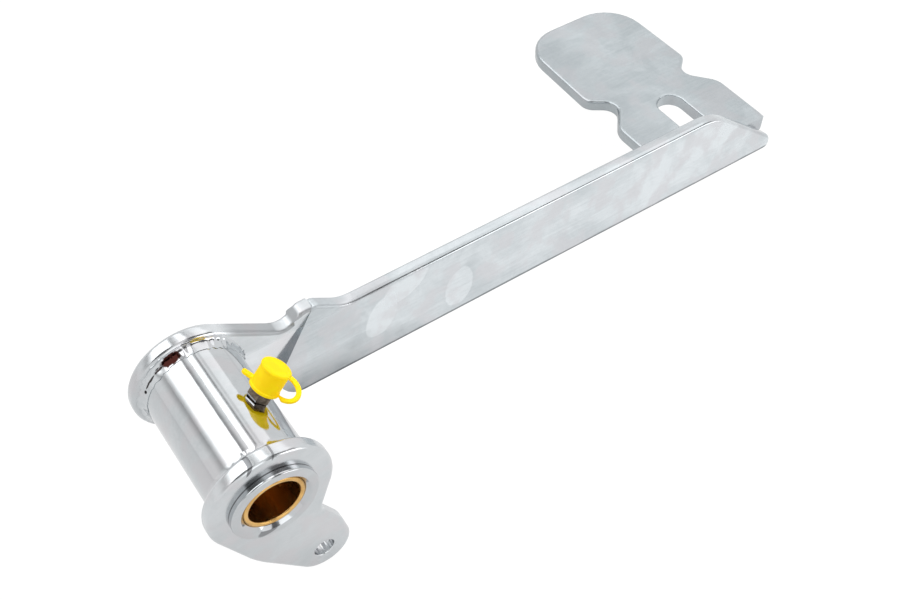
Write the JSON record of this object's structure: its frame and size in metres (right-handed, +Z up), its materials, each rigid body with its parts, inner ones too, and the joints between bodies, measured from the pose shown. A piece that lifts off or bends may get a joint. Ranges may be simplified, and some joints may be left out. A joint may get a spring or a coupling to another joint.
{
  "type": "rear brake pedal",
  "caption": "Chromed steel motorcycle brake pedal: bushed pivot tube, lever plate with rod hole, long flat arm, slotted foot plate and capped grease nipple.",
  "frame": {"origin": "middle of the pivot bore, on its axis", "axes": "+X along the arm from the pivot toward the foot plate, +Y along the pivot bore from the lever plate to the arm's eye, +Z up as the picture shows it"},
  "size_m": [0.3071, 0.1673, 0.0873],
  "materials": {
    "polished_steel": "chrome over buffed steel, bright with a soft haze on the flats",
    "weld_metal": "chrome over a rippled weld bead",
    "bronze": "turned bronze, golden at the face and brown in the bore",
    "nipple_steel": "dark plated steel",
    "bearing_steel": "bright hardened steel",
    "cap_plastic": "soft yellow plastic with a satin gloss"
  },
  "bodies": {
    "pedal": {"pivot_tube": "polished_steel", "lever_plate": "polished_steel", "neck_plate": "polished_steel", "arm_blade": "polished_steel", "foot_plate": "polished_steel", "lever_weld": "weld_metal", "eye_weld": "weld_metal", "joint_weld": "weld_metal", "foot_weld": "weld_metal", "near_bush": "bronze", "far_bush": "bronze", "nipple_body": "nipple_steel", "nipple_spring": "bearing_steel"},
    "check_ball": {"nipple_ball": "bearing_steel"},
    "cap": {"dust_cap": "cap_plastic"}
  },
  "joints": [
    {"name": "check_ball_lift", "type": "slide", "parent": "pedal", "child": "check_ball", "axis": [-0.6428, 0, -0.766], "range_m": [0, 0.0012], "stiffness_N_per_m": 40, "springref_m": -0.002, "deforming": ["nipple_spring"]},
    {"name": "dust_cap_pull", "type": "slide", "parent": "pedal", "child": "cap", "axis": [0.6428, 0, 0.766], "range_m": [0, 0.012]}
  ]
}
